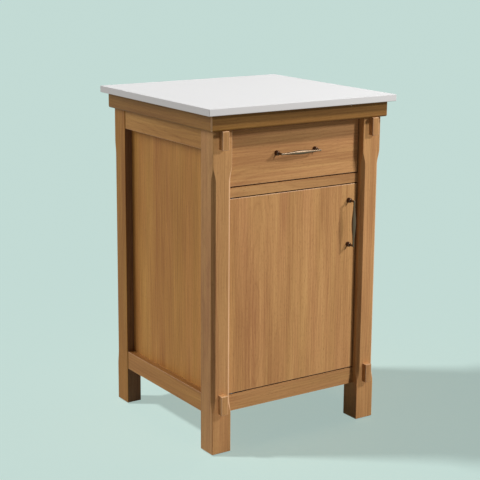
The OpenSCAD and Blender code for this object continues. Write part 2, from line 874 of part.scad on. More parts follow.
// Magnetic catch on the right front leg and its strike plate on the door
catch_x1 = front_open;
catch_x0 = catch_x1 - catch_size[0];
catch_y0 = door_back + strike_thickness + catch_gap;
catch_zs = [catch_height - 12, catch_height + 12];
module magnet_catch() {
    color(nylon) difference() {
        board(catch_x0, catch_x1, catch_y0, catch_y0 + catch_size[1],
            catch_height - catch_size[2] / 2, catch_height + catch_size[2] / 2);
        catch_screws();
    }
}
module catch_screws() {
    color(zinc) for (z = catch_zs)
        translate([catch_x0, catch_y0 + catch_size[1] / 2, z]) rotate([0, 90, 0])
            wood_screw(catch_size[0] + 14);
}
module strike_plate() {
    color(zinc) difference() {
        board(door_half - 18, door_half - 2, door_back, door_back + strike_thickness,
            catch_height - 15, catch_height + 15);
        door_screws();
    }
}

// Door
module door() {
    pocket = pivot_radius + 1;
    color(oak) difference() {
        board(-door_half, door_half, front_y0, door_back, door_z0, door_z1);
        pivot_leaf_blanks();
        rod_z(pivot_x, pivot_y, door_z1 - pivot_plate_thickness - 2 * pin_reach,
            door_z1, pocket);
        rod_z(pivot_x, pivot_y, door_z0,
            door_z0 + pivot_plate_thickness + 2 * pin_reach, pocket);
        door_screws();
        door_pull_screws();
    }
}
module door_screws() {
    color(zinc) {
        for (x = plate_screws) {
            translate([x, pivot_y, door_z1]) rotate([180, 0, 0]) wood_screw(leaf_screw_length);
            translate([x, pivot_y, door_z0]) wood_screw(leaf_screw_length);
        }
        translate([door_half - 8, door_back + strike_thickness, catch_height])
            rotate([90, 0, 0]) wood_screw(14);
    }
}

countertop();
cornice_front();
cornice_back();
cornice_left();
cornice_right();
front_left_leg();
front_right_leg();
rear_left_leg();
rear_right_leg();
upper_blocks();
lower_blocks();
foot_glides();
leg_dowels();
left_top_rail();
left_lower_rail();
left_panel();
right_top_rail();
right_lower_rail();
right_panel();
back_top_rail();
back_lower_rail();
back_panel();
mid_rail();
bottom_rail();
cabinet_floor();
shelf();
shelf_cleats();
cornice_cleats();
cleat_screws();
left_runner();
right_runner();
left_slide_outer();
right_slide_outer();
slide_case_screw_set();
pivot_plates();
pivot_plate_screws();
magnet_catch();
catch_screws();
left_slide_middle();
left_slide_balls();
right_slide_middle();
right_slide_balls();
drawer_front();
drawer_box_front();
drawer_box_back();
drawer_left_side();
drawer_right_side();
drawer_bottom();
left_slide_inner();
right_slide_inner();
slide_box_screw_set();
drawer_front_screws();
drawer_pull();
drawer_pull_screws();
door();
pivot_leaves();
door_screws();
strike_plate();
door_pull();
door_pull_screws();
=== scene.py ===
import bpy
import json
import math
import numpy as np
from mathutils import Matrix, Vector


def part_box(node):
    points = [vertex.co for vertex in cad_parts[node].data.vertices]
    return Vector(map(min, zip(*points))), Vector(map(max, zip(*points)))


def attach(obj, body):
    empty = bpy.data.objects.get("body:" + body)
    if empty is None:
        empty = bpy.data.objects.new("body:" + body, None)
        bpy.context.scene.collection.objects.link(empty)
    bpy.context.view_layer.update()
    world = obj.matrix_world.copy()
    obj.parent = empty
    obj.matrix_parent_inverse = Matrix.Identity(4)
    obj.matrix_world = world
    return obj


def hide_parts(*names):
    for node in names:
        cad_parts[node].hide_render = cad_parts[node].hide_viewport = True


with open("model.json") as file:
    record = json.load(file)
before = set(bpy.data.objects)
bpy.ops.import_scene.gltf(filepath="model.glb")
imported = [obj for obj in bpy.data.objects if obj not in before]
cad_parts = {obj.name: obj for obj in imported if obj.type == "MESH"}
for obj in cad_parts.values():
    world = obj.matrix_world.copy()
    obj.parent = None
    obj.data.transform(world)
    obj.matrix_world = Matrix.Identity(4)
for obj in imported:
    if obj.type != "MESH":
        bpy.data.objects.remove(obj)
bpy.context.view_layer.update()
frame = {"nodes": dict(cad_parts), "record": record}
nodes = frame["nodes"]
scene = bpy.context.scene
print("frame loaded:", len(nodes), "nodes")


# camera, fitted to the slab corners, the feet and the cornice; lengths in metres
view = {
    "yaw": -33.60,        # degrees round the unit, minus is to the left of the front
    "pitch": 12.49,       # degrees looking down
    "roll": 0.42,         # degrees
    "distance": 3.58434,  # from the point aimed at
    "aimSide": -0.0121,   # of that point, to the right of the unit's middle
    "aimHeight": 0.56197,
    "lens": 96.637,       # millimetres, as the sensor
    "sensor": 36,
    "rise": -0.05,        # lens shift, keeps the legs from leaning
    "clip": (0.05, 200),  # the nearest and furthest that it sees
}


def towards(yaw, height):
    # yaw 0 is the front and 90 the right; height is degrees above the floor
    a, e = math.radians(yaw), math.radians(height)
    return Vector((math.sin(a) * math.cos(e), -math.cos(a) * math.cos(e), math.sin(e)))


def placeCamera(v):
    # the camera sits on a line from the aim point, turned by yaw and raised by pitch
    yaw, roll = math.radians(v["yaw"]), math.radians(v["roll"])
    back = towards(v["yaw"], v["pitch"])
    side = Vector((math.cos(yaw), math.sin(yaw), 0))
    up = side.cross(-back)
    aim = Vector((0, 0, v["aimHeight"])) + side * v["aimSide"]
    right = side * math.cos(roll) + up * math.sin(roll)
    top = up * math.cos(roll) - side * math.sin(roll)
    data = bpy.data.cameras.new("camera")
    data.lens = v["lens"]
    data.sensor_width = v["sensor"]
    data.shift_y = v["rise"]
    data.clip_start, data.clip_end = v["clip"]
    cam = bpy.data.objects.new("camera", data)
    cam.matrix_world = Matrix((
        (right.x, top.x, back.x, 0), (right.y, top.y, back.y, 0),
        (right.z, top.z, back.z, 0), (0, 0, 0, 1)))
    cam.location = aim + back * v["distance"]
    scene.collection.objects.link(cam)
    scene.camera = cam


placeCamera(view)
print("camera placed")


def tone(hexCode):
    # sRGB hex to linear: each channel by the sRGB curve
    c = np.array([int(hexCode[i:i + 2], 16) for i in (1, 3, 5)]) / 255
    lin = np.where(c <= 0.04045, c / 12.92, ((c + 0.055) / 1.055) ** 2.4)
    return (*lin.tolist(), 1.0)


def addNode(tree, kind, put=(), feed=()):
    # one shader node; put holds its settings and input values, feed its links
    node = tree.nodes.new(kind)
    for key, value in dict(put).items():
        if isinstance(key, int) or key in node.inputs:
            node.inputs[key].default_value = value
        else:
            setattr(node, key, value)
    for key, socket in dict(feed).items():
        tree.links.new(socket, node.inputs[key])
    return node


def newMaterial(name):
    mat = bpy.data.materials.new(name)
    mat.use_nodes = True
    mat.node_tree.nodes.clear()
    out = mat.node_tree.nodes.new("ShaderNodeOutputMaterial")
    return mat, mat.node_tree, out


def setRamp(node, stops):
    # colour ramp stops as (place, colour)
    ramp = node.color_ramp
    while len(ramp.elements) > 1:
        ramp.elements.remove(ramp.elements[0])
    ramp.elements[0].position, ramp.elements[0].color = stops[0]
    for place, colour in stops[1:]:
        ramp.elements.new(place).color = colour


# studio: an endless pale floor, a high and a low lamp at the right front, a broad
# soft one for the side frame, and one at the left rear that throws the floor shadow.
# Yaw, height and spread are in degrees, lengths in metres; a lamp with a distance
# stands that near
studio = {
    "backdrop": "#c4dcd6",
    "highLamp": {"strength": 2.79, "yaw": 47, "height": 50, "spread": 6},
    "lowLamp": {"strength": 34.4, "yaw": 43, "height": 30, "distance": 3.0, "size": 0.33},
    "sideLamp": {"strength": 1.95, "yaw": 230, "height": 31, "spread": 45},
    "floorLamp": {"strength": 1.96, "yaw": 235, "height": 52, "spread": 6},
    "aimHeight": 0.45,
    "farStand": 4,        # where a lamp of parallel rays is drawn, its light is the same anywhere
    "worldLight": 0.047,
    "worldColour": (1, 0.99, 0.97, 1),
    "floorReach": 60.0,
    "floorGlow": 0.633,   # share of the floor's tone that no shadow reaches
    "floorLit": 0.656,    # share of its colour that its own lamp lights
    "bounce": "#cdc6bc",  # what the floor sends up on to the unit, without its tint
}


def hangLamp(name, values, receivers):
    # a disc at its distance, or without one a lamp so far off that its rays are parallel
    near = "distance" in values
    data = bpy.data.lights.new(name, "AREA" if near else "SUN")
    data.energy = values["strength"]
    if near:
        data.shape, data.size = "DISK", values["size"]
    else:
        data.angle = math.radians(values["spread"])
    lamp = bpy.data.objects.new(name, data)
    direction = towards(values["yaw"], values["height"])
    stand = values.get("distance", studio["farStand"])
    lamp.location = Vector((0, 0, studio["aimHeight"])) + direction * stand
    lamp.rotation_mode = "QUATERNION"
    lamp.rotation_quaternion = direction.to_track_quat("Z", "Y")
    scene.collection.objects.link(lamp)
    lamp.light_linking.receiver_collection = receivers


def seenRays(tree):
    # 1 for the rays that see the studio, straight, through glass or in a reflection
    ray = addNode(tree, "ShaderNodeLightPath")
    direct = addNode(tree, "ShaderNodeMath", {"operation": "MAXIMUM"},
                     {0: ray.outputs["Is Camera Ray"], 1: ray.outputs["Is Transmission Ray"]})
    return addNode(tree, "ShaderNodeMath", {"operation": "MAXIMUM"},
                   {0: direct.outputs[0], 1: ray.outputs["Is Glossy Ray"]})


def buildStudio(s):
    world = bpy.data.worlds.new("studioWorld")
    scene.world = world
    world.use_nodes = True
    tree = world.node_tree
    tree.nodes.clear()
    light = addNode(tree, "ShaderNodeBackground",
                    {"Color": s["worldColour"], "Strength": s["worldLight"]})
    backdrop = addNode(tree, "ShaderNodeBackground",
                       {"Color": tone(s["backdrop"]), "Strength": 1.0})
    mix = addNode(tree, "ShaderNodeMixShader", {},
                  {0: seenRays(tree).outputs[0], 1: light.outputs[0], 2: backdrop.outputs[0]})
    addNode(tree, "ShaderNodeOutputWorld", {}, {"Surface": mix.outputs[0]})

    floorMat, tree, out = newMaterial("matte studio floor")
    colour = np.array(tone(s["backdrop"])[:3])
    lit = addNode(tree, "ShaderNodeBsdfDiffuse", {"Color": (*(colour * s["floorLit"]), 1)})
    glow = addNode(tree, "ShaderNodeEmission", {"Color": (*(colour * s["floorGlow"]), 1)})
    both = addNode(tree, "ShaderNodeAddShader", {}, {0: lit.outputs[0], 1: glow.outputs[0]})
    dim = addNode(tree, "ShaderNodeBsdfDiffuse", {"Color": tone(s["bounce"])})
    mix = addNode(tree, "ShaderNodeMixShader", {},
                  {0: seenRays(tree).outputs[0], 1: dim.outputs[0], 2: both.outputs[0]})
    tree.links.new(mix.outputs[0], out.inputs["Surface"])
    mesh = bpy.data.meshes.new("studioFloor")
    reach = s["floorReach"]
    corners = [(-reach, -reach, 0), (reach, -reach, 0), (reach, reach, 0), (-reach, reach, 0)]
    mesh.from_pydata(corners, [], [(0, 1, 2, 3)])
    floor = bpy.data.objects.new("studioFloor", mesh)
    mesh.materials.append(floorMat)
    scene.collection.objects.link(floor)

    # one lamp alone lights the floor, so one shadow falls there, to the right
    for state, names in (("EXCLUDE", ("highLamp", "lowLamp", "sideLamp")),
                         ("INCLUDE", ("floorLamp",))):
        receivers = bpy.data.collections.new("floor" + state.title())
        receivers.objects.link(floor)
        receivers.collection_objects[0].light_linking.link_state = state
        for name in names:
            hangLamp(name, s[name], receivers)

    # what goes into this collection throws no shadow from the high lamp
    unshadowed = bpy.data.collections.new("noShadow")
    scene.collection.objects["highLamp"].light_linking.blocker_collection = unshadowed
    return unshadowed


noShadow = buildStudio(studio)
scene.view_settings.view_transform = "Standard"
print("studio lit")


noiseReach = (0.3, 0.7)  # nearly all of a noise pattern lies between these


# oak, planed and sanded boards under a satin lacquer: warm honey brown, darker
# growth rings that arch on wide boards, and short dark pores along the grain
oak = {
    "light": "#d7a66d", "mid": "#c6945f", "dark": "#ac7a4d", "pore": "#815732",
    "places": {"dark": 0.42, "mid": 0.54, "light": 0.66},  # in the mixed patterns
    "ringGap": 0.0085,      # metres between growth rings, as a flat-sawn face shows them
    "sway": 0.05,           # metres that they wander
    # how bright a ring is at shares of its width, dark where it starts and ends
    "ringTones": ((0.0, 0.2), (0.15, 0.5), (0.6, 0.62), (0.88, 0.42), (1.0, 0.2)),
    # each pattern's width and length along the grain in metres, detail and roughness;
    # fibres and pores are drawn coarser than they are, so that they show
    "patterns": {
        "sway": (0.11, 0.35, 3.0, 0.55),
        "cloud": (0.09, 0.55, 2.0, 0.55),
        "band": (0.022, 0.45, 2.0, 0.55),
        "streak": (0.0055, 0.22, 4.0, 0.65),
        "fibre": (0.0012, 0.05, 3.0, 0.6),
        "pore": (0.0008, 0.012, 1.0, 0.55),
        "drift": (0.035, 0.5, 1.0, 0.55),
    },
    "shares": {"ring": 0.12, "streak": 0.24, "fibre": 0.16, "band": 0.24, "cloud": 0.24},
    "poreFrom": 0.61, "poreTo": 0.72,  # of its pattern, from no pore to a full one
    "poreDepth": 0.5,       # share of the pore's colour in a full one
    "hueDrift": 0.0035,     # slow change between a pinkish and a yellowish brown
    "relief": 0.10, "reliefDepth": 0.0002,  # of fibres and pores, the depth in metres
    "smooth": 0.44, "rough": 0.60,          # roughness, which goes with the streaks
    "sheen": 0.2,           # specular level of the dull lacquer
}


def oakMaterial(name, grain, pith, lean=0.05, shift=(0, 0, 0), value=1.0, warmth=1.0):
    # rings are distances from a leaning pith line, so a wide face cuts them in arches;
    # value and warmth set a board's brightness and saturation off from the others
    mat, tree, out = newMaterial(name)
    coord = addNode(tree, "ShaderNodeTexCoord")
    moved = addNode(tree, "ShaderNodeMapping", {"Location": shift},
                    {"Vector": coord.outputs["Object"]})
    split = addNode(tree, "ShaderNodeSeparateXYZ", {}, {0: moved.outputs[0]})
    order = {"X": ("Z", "Y", "X"), "Y": ("Z", "X", "Y"), "Z": ("X", "Y", "Z")}[grain]
    board = addNode(tree, "ShaderNodeCombineXYZ", {},
                    {i: split.outputs[axis] for i, axis in enumerate(order)})
    pattern = {}
    for key, (width, length, detail, roughness) in oak["patterns"].items():
        size = addNode(tree, "ShaderNodeMapping",
                       {"Scale": (1 / width, 1 / width, 1 / length)}, {"Vector": board.outputs[0]})
        pattern[key] = addNode(tree, "ShaderNodeTexNoise",
                               {"Scale": 1.0, "Detail": detail, "Roughness": roughness},
                               {"Vector": size.outputs[0]})

    # the rings: how many ring gaps a point, swayed a little, lies from the pith
    sway = oak["sway"]
    wobble = addNode(tree, "ShaderNodeVectorMath", {
        "operation": "MULTIPLY_ADD", 1: (sway, sway, 0), 2: (-sway / 2, -sway / 2, 0)},
        {0: pattern["sway"].outputs["Color"]})
    bent = addNode(tree, "ShaderNodeVectorMath", {"operation": "ADD"},
                   {0: board.outputs[0], 1: wobble.outputs[0]})
    part = addNode(tree, "ShaderNodeSeparateXYZ", {}, {0: bent.outputs[0]})
    across = addNode(tree, "ShaderNodeMath", {"operation": "SUBTRACT", 1: pith[0]},
                     {0: part.outputs["X"]})
    deep = addNode(tree, "ShaderNodeMath", {"operation": "MULTIPLY_ADD", 1: lean},
                   {0: part.outputs["Z"], 2: part.outputs["Y"]})
    deeper = addNode(tree, "ShaderNodeMath", {"operation": "ADD", 1: pith[1]},
                     {0: deep.outputs[0]})
    flat = addNode(tree, "ShaderNodeCombineXYZ", {},
                   {0: across.outputs[0], 1: deeper.outputs[0]})
    radius = addNode(tree, "ShaderNodeVectorMath", {"operation": "LENGTH"},
                     {0: flat.outputs[0]})
    count = addNode(tree, "ShaderNodeMath", {"operation": "DIVIDE", 1: oak["ringGap"]},
                    {0: radius.outputs["Value"]})
    ring = addNode(tree, "ShaderNodeMath", {"operation": "FRACT"}, {0: count.outputs[0]})
    ringTone = addNode(tree, "ShaderNodeValToRGB", {}, {0: ring.outputs[0]})
    setRamp(ringTone, [(place, (grey, grey, grey, 1)) for place, grey in oak["ringTones"]])

    total = None
    for key, share in oak["shares"].items():
        source = ringTone.outputs[0] if key == "ring" else pattern[key].outputs["Fac"]
        term = addNode(tree, "ShaderNodeMath", {"operation": "MULTIPLY_ADD", 1: share, 2: 0.0},
                       {0: source})
        if total:
            tree.links.new(total, term.inputs[2])
        total = term.outputs[0]
    body = addNode(tree, "ShaderNodeValToRGB", {}, {0: total})
    setRamp(body, [(place, tone(oak[key])) for key, place in oak["places"].items()])

    poreMask = addNode(tree, "ShaderNodeMapRange",
                       {"From Min": oak["poreFrom"], "From Max": oak["poreTo"],
                        "To Min": 0.0, "To Max": oak["poreDepth"]},
                       {"Value": pattern["pore"].outputs["Fac"]})
    colour = addNode(tree, "ShaderNodeMix", {"data_type": "RGBA", 7: tone(oak["pore"])},
                     {0: poreMask.outputs[0], 6: body.outputs[0]})
    drift = oak["hueDrift"]
    hue = addNode(tree, "ShaderNodeMapRange",
                  {"From Min": noiseReach[0], "From Max": noiseReach[1],
                   "To Min": 0.5 - drift, "To Max": 0.5 + drift},
                  {"Value": pattern["drift"].outputs["Fac"]})
    dull = addNode(tree, "ShaderNodeHueSaturation", {"Value": value, "Saturation": warmth},
                   {"Color": colour.outputs[2], "Hue": hue.outputs[0]})

    relief = addNode(tree, "ShaderNodeMath", {"operation": "SUBTRACT"},
                     {0: pattern["fibre"].outputs["Fac"], 1: poreMask.outputs[0]})
    bump = addNode(tree, "ShaderNodeBump",
                   {"Strength": oak["relief"], "Distance": oak["reliefDepth"]},
                   {"Height": relief.outputs[0]})
    shine = addNode(tree, "ShaderNodeMapRange", {"To Min": oak["smooth"], "To Max": oak["rough"]},
                    {"Value": pattern["streak"].outputs["Fac"]})
    bsdf = addNode(tree, "ShaderNodeBsdfPrincipled", {"Specular IOR Level": oak["sheen"]},
                   {"Base Color": dull.outputs[0], "Roughness": shine.outputs[0],
                    "Normal": bump.outputs[0]})
    tree.links.new(bsdf.outputs[0], out.inputs["Surface"])
    return mat


# piths across and behind the boards, in metres: legs, long boards across, cornice
legPith, longPith, cornicePith = (0.24, 0.22), (0.70, 0.20), (0.62, 0.24)
# painted shade: the left front leg, and the blocks that take its oak, are a little darker than the
# right one, as the light falls from the right
oakLeft = oakMaterial("lacquered oak, left front leg", "Z", legPith, value=0.88)
oakRight = oakMaterial("lacquered oak, right front leg", "Z", (-0.30, 0.20))
oakRear = oakMaterial("lacquered oak, rear legs", "Z", legPith, value=0.77, warmth=1.12)
# painted shade: this dark oak goes on the rear legs' inner faces beside the side panels and on the
# door's top and bottom ends, standing in for the shade in those recesses and gaps
oakPaintedShade = oakMaterial("lacquered oak, painted shade", "Z", legPith, value=0.42, warmth=0.9)
oakEnd = oakMaterial("lacquered oak, end grain", "Z", legPith, value=0.66, warmth=0.95)
# painted highlight: this lighter, paler oak goes on eased edges, the front legs' inner chamfers,
# the blocks' edges and the cornice's mitres, standing in for the light they catch
oakPaintedHighlight = oakMaterial("lacquered oak, painted edge highlight", "Z", legPith, value=1.16, warmth=0.84)
oakDoor = oakMaterial("lacquered oak, arched grain", "Z", (-0.12, 0.20), lean=0.10)
oakDrawer = oakMaterial("lacquered oak, drawer front", "X", longPith, value=0.96)
oakAcross = oakMaterial("lacquered oak, grain across", "X", longPith)
oakRail = oakMaterial("lacquered oak, front rails", "X", (0.66, 0.30), shift=(0.2, 0, 0),
                      value=0.88)
oakDeep = oakMaterial("lacquered oak, grain front to back", "Y", (0.80, 0.22),
                      value=0.81, warmth=1.08)
oakSide = oakMaterial("lacquered oak, side panels", "Z", (0.10, 0.30), lean=0.08,
                      shift=(0.3, 0.0, 0.2), value=0.94, warmth=1.10)
# painted shade: the cornice members are much darker than the other oak, the front and back ones
# most, standing in for the shade under the slab's overhang
oakCorniceX = oakMaterial("lacquered oak, cornice across", "X", cornicePith,
                          shift=(0.1, 0, 0), value=0.46, warmth=1.12)
oakCorniceY = oakMaterial("lacquered oak, cornice front to back", "Y", cornicePith,
                          shift=(0, 0.1, 0), value=0.545, warmth=1.1)
print("oak mixed")


def plainMaterial(name, colour, roughness, metallic, grit, vary, relief, extra=()):
    # a base colour with faint mottling and a fine bump of the given grit size
    mat, tree, out = newMaterial(name)
    coord = addNode(tree, "ShaderNodeTexCoord")
    speck = addNode(tree, "ShaderNodeTexNoise", {"Scale": 1 / grit, "Detail": 2.0},
                    {"Vector": coord.outputs["Object"]})
    ramp = addNode(tree, "ShaderNodeValToRGB", {}, {0: speck.outputs["Fac"]})
    base = np.array(tone(colour)[:3])
    setRamp(ramp, [(noiseReach[0], (*(base * (1 - vary)), 1)),
                   (noiseReach[1], (*(base * (1 + vary)), 1))])
    bump = addNode(tree, "ShaderNodeBump", {"Strength": relief, "Distance": grit / 2},
                   {"Height": speck.outputs["Fac"]})
    bsdf = addNode(tree, "ShaderNodeBsdfPrincipled",
                   {"Roughness": roughness, "Metallic": metallic, **dict(extra)},
                   {"Base Color": ramp.outputs[0], "Normal": bump.outputs[0]})
    tree.links.new(bsdf.outputs[0], out.inputs["Surface"])
    return mat


# honed stone: an even, nearly white face with hardly a glint and no grain to see
quartz = plainMaterial("honed white quartz", "#d7d6d6", roughness=0.84, metallic=0.0,
                       grit=0.0009, vary=0.02, relief=0.01, extra={"Specular IOR Level": 0.14})
# slides, screws and plates: a clear bluish grey shine with a faint grain
zinc = plainMaterial("bright zinc plated steel", "#b4b7bb", roughness=0.34, metallic=1.0,
                     grit=0.0005, vary=0.05, relief=0.04)
# the pivots, plated too but gone dark and matt
dullZinc = plainMaterial("dull zinc plated steel", "#74777b", roughness=0.55, metallic=1.0,
                         grit=0.0005, vary=0.08, relief=0.04)
# foot glides: a soft brown sheen, as from a mould
nylon = plainMaterial("moulded brown nylon", "#33271d", roughness=0.6, metallic=0.0,
                      grit=0.0004, vary=0.05, relief=0.05, extra={"IOR": 1.53})
print("other finishes mixed")


def skin(name, shells, material, body, stands, smoothAngle=35, trims=(), ends=0):
    # closed shells, each a stack of rings of points with flat ends; rings run
    # anticlockwise round the direction in which they are stacked. Each trim is a
    # further material and, for each shell, a mask of the quads that take it. The two
    # flat ends take the material itself where ends is 0, or the trim of that number
    points, faces, base, tints = [], [], 0, []
    for number, rings in enumerate(shells):
        count, size = rings.shape[:2]
        j = np.arange(size)
        k = (j + 1) % size
        i = np.arange(count - 1)[:, None] * size
        quads = base + np.stack([i + j, i + k, i + size + k, i + size + j], -1).reshape(-1, 4)
        first, last = base + j[::-1], base + j + (count - 1) * size
        faces += quads.tolist() + [first.tolist(), last.tolist()]
        tint = np.zeros((count - 1, size), int)
        for slot, (extra, masks) in enumerate(trims):
            tint[masks[number]] = slot + 1
        tints += [tint.ravel(), [ends, ends]]
        points.append(rings.reshape(-1, 3))
        base += count * size
    mesh = bpy.data.meshes.new(name)
    mesh.from_pydata(np.concatenate(points).tolist(), [], faces)
    mesh.shade_smooth()
    mesh.set_sharp_from_angle(angle=math.radians(smoothAngle))
    for finish in (material, *(extra for extra, masks in trims)):
        mesh.materials.append(finish)
    mesh.polygons.foreach_set("material_index", np.concatenate(tints))
    piece = bpy.data.objects.new(name, mesh)
    scene.collection.objects.link(piece)
    flatFaces = piece.modifiers.new("flatFaces", "WEIGHTED_NORMAL")
    flatFaces.keep_sharp = True
    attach(piece, body)
    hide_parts(*stands)
    return piece


# the round that sanding leaves on a board's edges; at the ends it starts a little
# way round the quarter circle, so that the flat end keeps round corners
sanded = {"ease": 0.0009, "steps": 3, "start": math.pi / 10}


def easedRings(low, high, along, ease, steps):
    # a rounded rectangle carried along one axis, its ends drawn in by a quarter circle
    low, high = np.array(low, float), np.array(high, float)
    a = "XYZ".index(along)
    b, c = (a + 1) % 3, (a + 2) % 3
    turn = np.linspace(sanded["start"], math.pi / 2, steps)
    shrink = ease * (1 - np.sin(turn))
    step = ease * (math.cos(sanded["start"]) - np.cos(turn))
    inset = np.concatenate([shrink, shrink[::-1]])
    place = np.concatenate([low[a] + step, high[a] - step[::-1]])
    quarter = np.linspace(0, math.pi / 2, steps + 1)
    angle = np.concatenate([quarter + q * math.pi / 2 for q in range(4)])
    signB = np.repeat([1, -1, -1, 1], steps + 1)
    signC = np.repeat([1, 1, -1, -1], steps + 1)
    cornerB = (low[b] + high[b]) / 2 + signB * ((high[b] - low[b]) / 2 - ease)
    cornerC = (low[c] + high[c]) / 2 + signC * ((high[c] - low[c]) / 2 - ease)
    rings = np.zeros((len(inset), len(angle), 3))
    rings[:, :, a] = place[:, None]
    rings[:, :, b] = cornerB + (ease - inset)[:, None] * np.cos(angle)
    rings[:, :, c] = cornerC + (ease - inset)[:, None] * np.sin(angle)
    return rings


def easedMask(steps):
    # every quad of an eased box but its four long faces
    mask = np.ones((2 * steps - 1, 4 * (steps + 1)), bool)
    mask[steps - 1, steps::steps + 1] = False
    return mask


def easedBoard(name, low, high, along, material, body="case", slotName="oak", stands=(),
               ease=sanded["ease"], steps=sanded["steps"], endFinish=oakEnd):
    # a board of oak has eased edges painted lighter, a painted highlight, and darker ends;
    # the stone is all of one finish
    trims = []
    if slotName == "oak":
        mask = easedMask(steps)
        trims = [(oakPaintedHighlight, [mask]), (endFinish, [np.zeros_like(mask)])]
    rings = easedRings(low, high, along, ease, steps)
    skin(name, [rings], material, body, stands, trims=trims, ends=len(trims))


def nodeBox(name):
    low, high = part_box(name)
    return np.array(low, float), np.array(high, float)


# stone slab, its edges eased by a stroke of the polisher
slab = {"ease": 0.0015, "steps": 5}
low, high = nodeBox("countertop")
easedBoard("stoneTop", low, high, "X", quartz, slotName="quartz", stands=["countertop"],
           ease=slab["ease"], steps=slab["steps"])
print("stone top made")


# cornice: four mitred members, rounded below and slightly bevelled above
cornice = {
    "width": 0.070, "radius": 0.006, "roundSteps": 9,
    "bevel": 0.002,       # its steps go inwards and down by these shares of it
    "bevelIn": (0, 0.3, 0.7, 1), "bevelDown": (1, 0.6, 0.2, 0),
    "mitreEase": 0.0013,  # how deep the mitres' edges are eased; those facets take a painted highlight
    "mitreRun": 2.2,      # how far the easing runs along, in such depths
    "smooth": 30,
}


def corniceMember(name, halfLength, face, quarterTurns, material, node):
    # the moulded section, a quarter circle below and a bent bevel above, carried from
    # one 45 degree mitre to the other
    low, high = nodeBox(node)
    z0, z1 = low[2], high[2]
    q = np.linspace(0, math.pi / 2, cornice["roundSteps"])
    width, r, bevel = [cornice["width"]], cornice["radius"], cornice["bevel"]
    depth = np.concatenate([width, r * (1 - np.sin(q)),
                            bevel * np.array(cornice["bevelIn"]), width])[::-1]
    height = np.concatenate([[z0], z0 + r * (1 - np.cos(q)),
                             z1 - bevel * np.array(cornice["bevelDown"]), [z1]])[::-1]
    m = cornice["mitreEase"]
    run = cornice["mitreRun"] * m
    back = np.array([0.0, run, run, 0.0])
    inset = np.array([m, 0.0, 0.0, m])
    sign = np.array([-1, -1, 1, 1])
    d = np.maximum(depth[None, :], inset[:, None])
    along = sign[:, None] * (halfLength - d - back[:, None])
    across = -face + d
    turn = quarterTurns * math.pi / 2
    x = along * math.cos(turn) - across * math.sin(turn)
    y = along * math.sin(turn) + across * math.cos(turn)
    rings = np.stack([x, y, np.broadcast_to(height, x.shape)], -1)
    # the mitres' eased facets take the painted highlight
    corner = np.zeros((3, len(depth)), bool)
    corner[::2] = np.minimum(depth, np.roll(depth, -1)) < m
    skin(name, [rings], material, "case", [node], cornice["smooth"],
         [(oakPaintedHighlight, [corner])])


low, high = nodeBox("cornice_front")
halfW = high[0]
halfD = -low[1]
corniceMember("corniceFront", halfW, halfD, 0, oakCorniceX, "cornice_front")
corniceMember("corniceBack", halfW, halfD, 2, oakCorniceX, "cornice_back")
corniceMember("corniceLeft", halfD, halfW, 3, oakCorniceY, "cornice_left")
corniceMember("corniceRight", halfD, halfW, 1, oakCorniceY, "cornice_right")
print("cornice mitred")


# legs: square posts whose chamfers run out in an S at both ends
legs = {
    "frontChamfer": 0.009, "rearChamfer": 0.0045,
    "lowStop": (0.102, 0.150), "highStop": (0.722, 0.770), "stopSteps": 18,
    "ease": 0.0009, "footStep": 0.0004,
    "footDraw": (0.8, 0.3),  # shares of the ease drawn in at the foot and a step above
    "softening": 0.0007,     # metres that a chamfer's corners are rounded on each face
    "softShare": 0.35,       # the most that this may be, as a share of the cut
    "softDip": 0.7,          # how far it goes on to the cut, as a share of it
}


def legShell(name, node, chamfers, material, trim, columns):
    # one corner-cut square per height; each cut grows from the eased edge to the
    # full chamfer as half a cosine wave; chamfers are in order from the left front
    low, high = nodeBox(node)
    ease = legs["ease"]
    (a0, a1), (b0, b1) = legs["lowStop"], legs["highStop"]
    z = np.concatenate([[low[2], low[2] + legs["footStep"], low[2] + ease],
                        np.linspace(a0, a1, legs["stopSteps"]),
                        np.linspace(b0, b1, legs["stopSteps"]), [high[2]]])
    drawn = np.zeros(len(z))
    drawn[:2] = ease * np.array(legs["footDraw"])
    grow = np.clip((z - a0) / (a1 - a0), 0, 1)
    fade = np.clip((b1 - z) / (b1 - b0), 0, 1)
    share = (1 - np.cos(math.pi * np.minimum(grow, fade))) / 2
    corners = [(0, 0), (1, 0), (1, 1), (0, 1)]
    rows = []
    for (cx, cy), size in zip(corners, chamfers):
        cut = np.sqrt((size * share) ** 2 + ease ** 2)
        soft = np.minimum(legs["softening"], legs["softShare"] * cut)
        dip = soft * legs["softDip"]
        px = np.where(cx, high[0] - drawn, low[0] + drawn)
        py = np.where(cy, high[1] - drawn, low[1] + drawn)
        sx, sy = (-1 if cx else 1), (-1 if cy else 1)
        # on the front or rear face, then just on to the cut; off it, then on the side
        alongX = [(cut + soft, 0 * dip), (cut - dip, dip)]
        alongY = [(dip, cut - dip), (0 * dip, cut + soft)]
        path = alongX + alongY if (cx + cy) % 2 else (alongX + alongY)[::-1]
        rows += [np.stack([px + sx * dx, py + sy * dy], -1) for dx, dy in path]
    ring = np.stack(rows, 1)
    rings = np.concatenate([ring, np.broadcast_to(z[:, None, None], (*ring.shape[:2], 1))], -1)
    mask = np.zeros((len(z) - 1, ring.shape[1]), bool)
    mask[:, columns] = True
    skin(name, [rings], material, "case", [node], trims=[(trim, [mask])])


